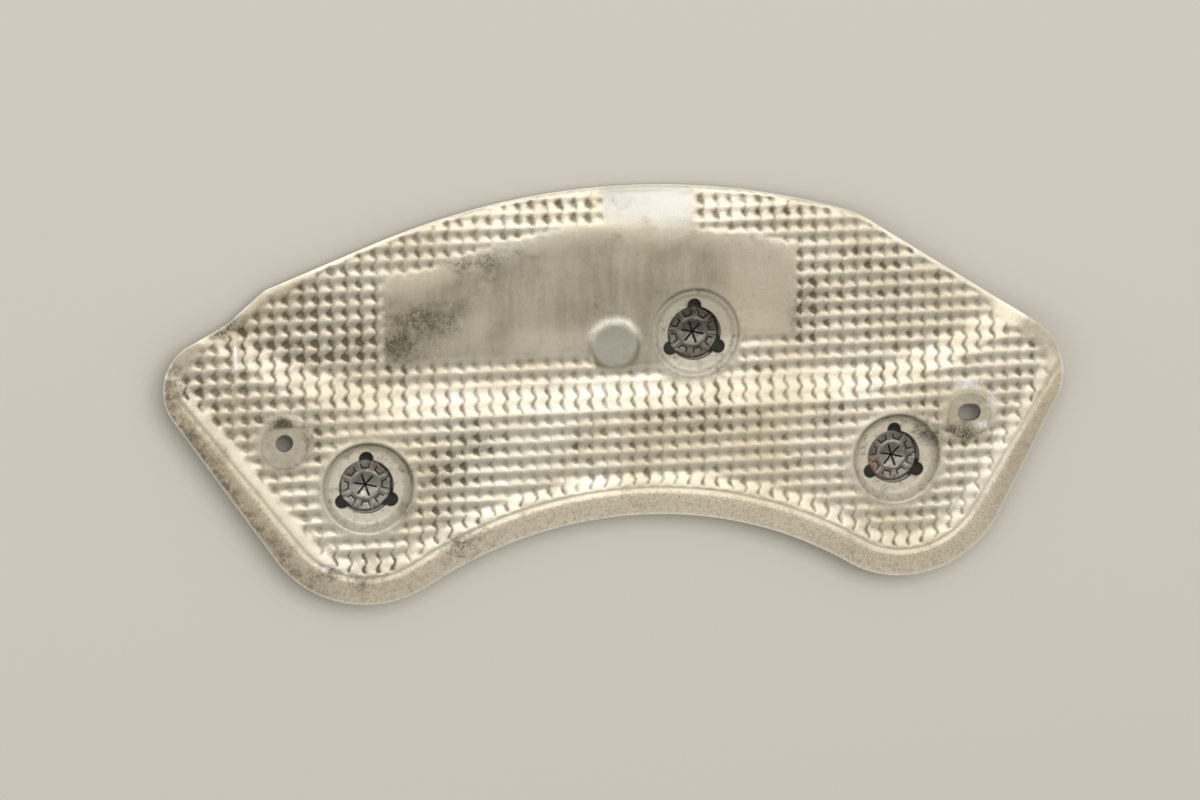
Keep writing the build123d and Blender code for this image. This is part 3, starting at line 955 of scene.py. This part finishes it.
# Coats of colour on the sheet, in their order: mask, share of the coat, colour.
# A share that varies is given by a noise, its range, and the shares at the two ends of it.
sheet_coats = [
    ("panel", ("blotch", 0.42, 0.58, 1.0, 0.62), (0.335, 0.30, 0.23)),
    ("pale", ("smudge", 0.3, 0.7, 0.25, 0.7), (0.66, 0.61, 0.53)),
    ("strip", 0.85, (0.565, 0.565, 0.54)),
    # Painted shadow line along the inner edge of the hem
    ("hem", 0.65, (0.33, 0.31, 0.24)),
    # Painted highlight above the button
    ("halo", ("smudge", 0.35, 0.6, 0.2, 0.8), (0.93, 0.91, 0.84)),
    ("plain", ("smudge", 0.3, 0.7, 0.55, 0.95), (0.75, 0.675, 0.545)),
    ("plain", ("speck", 0.47, 0.64, 0.0, 0.62), (0.40, 0.34, 0.25)),
    # Tarnish and painted shade along the bent-back border at the tips
    ("border", ("smudge", 0.3, 0.65, 0.25, 0.8), (0.47, 0.405, 0.30)),
    ("button", 0.75, (0.40, 0.395, 0.345)),
    ("seat", ("smudge", 0.35, 0.65, 0.35, 0.75), (0.60, 0.57, 0.49)),
    ("seat", ("smudge", 0.53, 0.66, 0.0, 0.62), (0.17, 0.14, 0.10)),
    # Painted shade and grime on the upper seat walls
    ("shade", ("smudge", 0.3, 0.7, 0.65, 1.0), (0.095, 0.085, 0.06)),
    ("rosy", ("smudge", 0.35, 0.65, 0.15, 0.55), (0.62, 0.48, 0.38)),
    ("washer", ("smudge", 0.35, 0.6, 0.3, 1.0), (0.27, 0.25, 0.21)),
    ("moon", ("smudge", 0.3, 0.5, 0.9, 1.0), (0.05, 0.043, 0.034)),
    # Painted shade in the groove at the head of the flange wall
    ("groove", 0.22, (0.30, 0.27, 0.17)),
    ("tarnish", ("smudge", 0.3, 0.7, 0.4, 1.0), (0.45, 0.40, 0.295)),
]
crust_coat = ("crust", ("speck", 0.35, 0.6, 0.2, 0.7), (0.36, 0.30, 0.21))
# Painted shade round the openings, and a painted highlight along the outer edge
edge_coats = [("lip", 0.9, (0.05, 0.04, 0.028)), ("rim", 0.55, (0.90, 0.88, 0.82))]
bare_metal, worn_metal, stained_metal = (0.82, 0.775, 0.67), (0.70, 0.63, 0.49), (0.56, 0.50, 0.38)
soil_and_shade_brown, haze_brown, spot_black = (0.095, 0.067, 0.028), (0.22, 0.18, 0.12), (0.065, 0.052, 0.034)
grain_white, scrape_and_highlight_white = (0.68, 0.675, 0.64), (0.95, 0.945, 0.93)
fleck_brown, crust_black = (0.15, 0.11, 0.065), (0.085, 0.06, 0.035)
haze_share, spot_share, soil_and_shade_share, grain_share, fleck_share, crust_share = 0.52, 0.9, 0.9, 0.6, 0.55, 0.65
sheet_metal, steel_metal = 0.94, 0.95
light_steel, dark_steel, rust_brown = (0.50, 0.48, 0.44), (0.30, 0.28, 0.25), (0.30, 0.15, 0.06)
speck_black, soot_and_shade_black, slit_shade_black = (0.09, 0.08, 0.07), (0.08, 0.07, 0.055), (0.008, 0.007, 0.006)


def aluminium():
    paint = Paint("stained_aluminium")
    mask, noise, span, blend = paint.mask, paint.noise, paint.span, paint.blend
    add, times, most = paint.add, paint.times, paint.most
    cloud = noise(22.0)
    stain = noise(75.0, 7.0, 0.65)
    smudge = noise(300.0, 8.0, 0.75)
    speck = noise(900.0, 5.0, 0.65)
    fine = noise(2600.0, 3.0, 0.6)
    streak = noise(60.0, 6.0, 0.7, (1, 0.16, 1))
    blotch = add(times(streak, 0.6), times(noise(45.0, 6.0, 0.7), 0.4))
    noises = {"blotch": blotch, "smudge": smudge, "speck": speck}

    def coat(colour, name, share, tint):
        if isinstance(share, tuple):
            share = span(noises[share[0]], *share[1:])
        return blend(times(mask(name), share), colour, tint)

    colour = blend(span(cloud, 0.35, 0.68), bare_metal, worn_metal)
    colour = blend(span(stain, 0.45, 0.75, 0.0, 0.45), colour, stained_metal)
    for values in sheet_coats:
        colour = coat(colour, *values)
    # Dirt and painted shade darken the bottoms of the hollows and the creases
    soiled = add(add(span(stain, 0.3, 0.65, 0.22, 0.85), times(mask("tarnish"), 0.5)), mask("dirt"))
    ragged = add(mask("hollow"), span(smudge, 0.3, 0.7, -0.28, 0.28))
    soil_and_shade = times(times(span(ragged, 0.1, 0.85), span(mask("hollow"), 0.04, 0.16)), soiled)
    colour = blend(times(soil_and_shade, soil_and_shade_share), colour, soil_and_shade_brown)
    patchy = add(mask("dirt"), span(stain, 0.25, 0.75, -0.5, 0.4))
    gritty = add(times(smudge, 0.35), times(speck, 0.65))
    smooth_skin = span(mask("embossed"), 0.0, 1.0, 1.0, 0.3)
    haze = times(times(span(patchy, 0.05, 0.85), haze_share), smooth_skin)
    spots = times(times(span(patchy, 0.2, 0.85), span(gritty, 0.43, 0.55)), smooth_skin)
    colour = blend(haze, colour, haze_brown)
    colour = blend(times(spots, spot_share), colour, spot_black)
    grains = times(times(mask("grains"), span(speck, 0.53, 0.62)), smooth_skin)
    colour = blend(times(grains, grain_share), colour, grain_white)
    flecks = most(span(smudge, 0.66, 0.74), span(speck, 0.66, 0.72))
    colour = blend(times(flecks, fleck_share), colour, fleck_brown)
    crust = times(mask("crust"), span(smudge, 0.46, 0.56))
    colour = coat(colour, *crust_coat)
    colour = blend(times(crust, crust_share), colour, crust_black)
    for values in edge_coats:
        colour = coat(colour, *values)
    # Scrapes of bare light metal, and a painted highlight down the tip crease
    torn_and_highlit = add(mask("scrape"), span(gritty, 0.35, 0.65, -0.45, 0.45))
    scraped_and_highlit = span(torn_and_highlit, 0.4, 0.95, 0.0, 0.85)
    paint.give("Base Color", blend(scraped_and_highlit, colour, scrape_and_highlight_white))
    grime_and_shade = most(spots, haze, times(soil_and_shade, 0.7), crust, mask("lip"))
    matt = most(times(scraped_and_highlit, 0.6), times(mask("seat"), 0.5), times(mask("halo"), 0.55))
    paint.give("Metallic", paint.maths("SUBTRACT", sheet_metal, most(times(grime_and_shade, 0.75), matt), True))
    rough = add(span(cloud, 0.3, 0.7, 0.33, 0.44), times(grime_and_shade, 0.3))
    rough = add(rough, times(most(mask("plain"), mask("panel")), 0.1))
    paint.give("Roughness", add(rough, times(mask("seat"), 0.2), True))
    bump = paint.node("ShaderNodeBump", Strength=0.35, Distance=0.0003)
    paint.feed(bump.inputs["Height"], add(fine, smudge))
    paint.give("Normal", bump.outputs["Normal"])
    return paint.material


def spring_steel():
    paint = Paint("dark_spring_steel")
    span, blend, times = paint.span, paint.blend, paint.times
    cloud = paint.noise(240.0, 5.0, 0.6)
    rust = paint.noise(500.0, 6.0, 0.7)
    speck = paint.noise(1800.0, 4.0, 0.7)
    rusty = times(paint.mask("rust"), span(rust, 0.3, 0.55, 0.2, 1.0))
    # Soot, with painted shade on the upper half of each nut
    soot = times(paint.mask("soot"), span(rust, 0.3, 0.6, 0.6, 1.0))
    # Slits and ears are coloured near black and dull: painted shade in the gaps
    slit = paint.mask("slit")
    colour = blend(span(cloud, 0.35, 0.65), light_steel, dark_steel)
    colour = blend(rusty, colour, rust_brown)
    colour = blend(span(speck, 0.6, 0.72, 0.0, 0.6), colour, speck_black)
    colour = blend(soot, colour, soot_and_shade_black)
    paint.give("Base Color", blend(slit, colour, slit_shade_black))
    dull = paint.most(times(rusty, 0.7), slit)
    paint.give("Metallic", paint.maths("SUBTRACT", steel_metal, dull, True))
    paint.give("Roughness", paint.add(span(cloud, 0.3, 0.7, 0.38, 0.52), times(dull, 0.4), True))
    paint.give("Specular IOR Level", paint.maths("SUBTRACT", 0.5, times(slit, 0.45)))
    return paint.material


# Putting it together

rim = belt_loop(outline(0.0), box_step)
shift = (rim.min(axis=0) + rim.max(axis=0)) / 2
sheet = build_sheet(shift)
sheet.data.materials.append(aluminium())
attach(sheet, "root")
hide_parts("heat_shield_sheet")

steel = spring_steel()
for side in seats:
    nut = build_nut(side, shift)
    nut.data.materials.append(steel)
    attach(nut, "root")
    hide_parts(f"push_nut_{side}")

# Stage
floor_half = 6.0
floor_mesh = bpy.data.meshes.new("floor")
corners = [(a * floor_half, b * floor_half, 0) for a, b in ((-1, -1), (1, -1), (1, 1), (-1, 1))]
floor_mesh.from_pydata(corners, [], [(0, 1, 2, 3)])
floor = add_object("floor", floor_mesh)
floor_paint = Paint("pale_floor")
floor_paint.give("Base Color", (0.69, 0.665, 0.605))
floor_paint.give("Roughness", 0.8)
floor.data.materials.append(floor_paint.material)
floor.location.z = -0.0002


def area_light(name, place, size, watts, colour):
    """Soft light that points at the middle of the part."""
    lamp = bpy.data.lights.new(name, "AREA")
    lamp.shape = "ELLIPSE"
    lamp.size, lamp.size_y = size
    lamp.energy = watts
    lamp.color = colour
    holder = add_object(name, lamp)
    holder.location = place
    holder.rotation_euler = (-Vector(place)).to_track_quat("-Z", "Y").to_euler()


area_light("upper_softbox", (0.3, 0.85, 1.85), (3.0, 1.5), 23, (1.0, 0.98, 0.95))
area_light("left_fill", (-1.4, -0.2, 1.2), (1.0, 1.0), 3, (1.0, 0.965, 0.90))

world = bpy.data.worlds.new("studio")
bpy.context.scene.world = world
world.use_nodes = True
tree = world.node_tree
tree.nodes.clear()
surround = tree.nodes.new("ShaderNodeBackground")
surround.inputs["Color"].default_value = (0.96, 0.935, 0.862, 1)
surround.inputs["Strength"].default_value = 0.47
output = tree.nodes.new("ShaderNodeOutputWorld")
tree.links.new(surround.outputs["Background"], output.inputs["Surface"])

# Camera: from the left and the crown side, with a long lens, the dimple columns upright
view_from = Vector((-0.21, 0.20, 0.957)).normalized()
distance = 1.6
sensor = 36.0
frame_width = 0.5166
camera_data = bpy.data.cameras.new("camera")
camera_data.sensor_width = sensor
camera_data.lens = sensor * distance / frame_width
camera = add_object("camera", camera_data)
forward = -view_from
up = (Vector((0, 1, 0)) - forward * forward.y).normalized()
right = forward.cross(up)
turn = Matrix((right, up, -forward)).transposed()
target = Vector((0, 0, 0.006))
camera.matrix_world = Matrix.Translation(target + view_from * distance) @ turn.to_4x4()
camera_data.shift_x = -0.0192
camera_data.shift_y = -0.0088
bpy.context.scene.camera = camera
bpy.context.scene.view_settings.view_transform = "Standard"
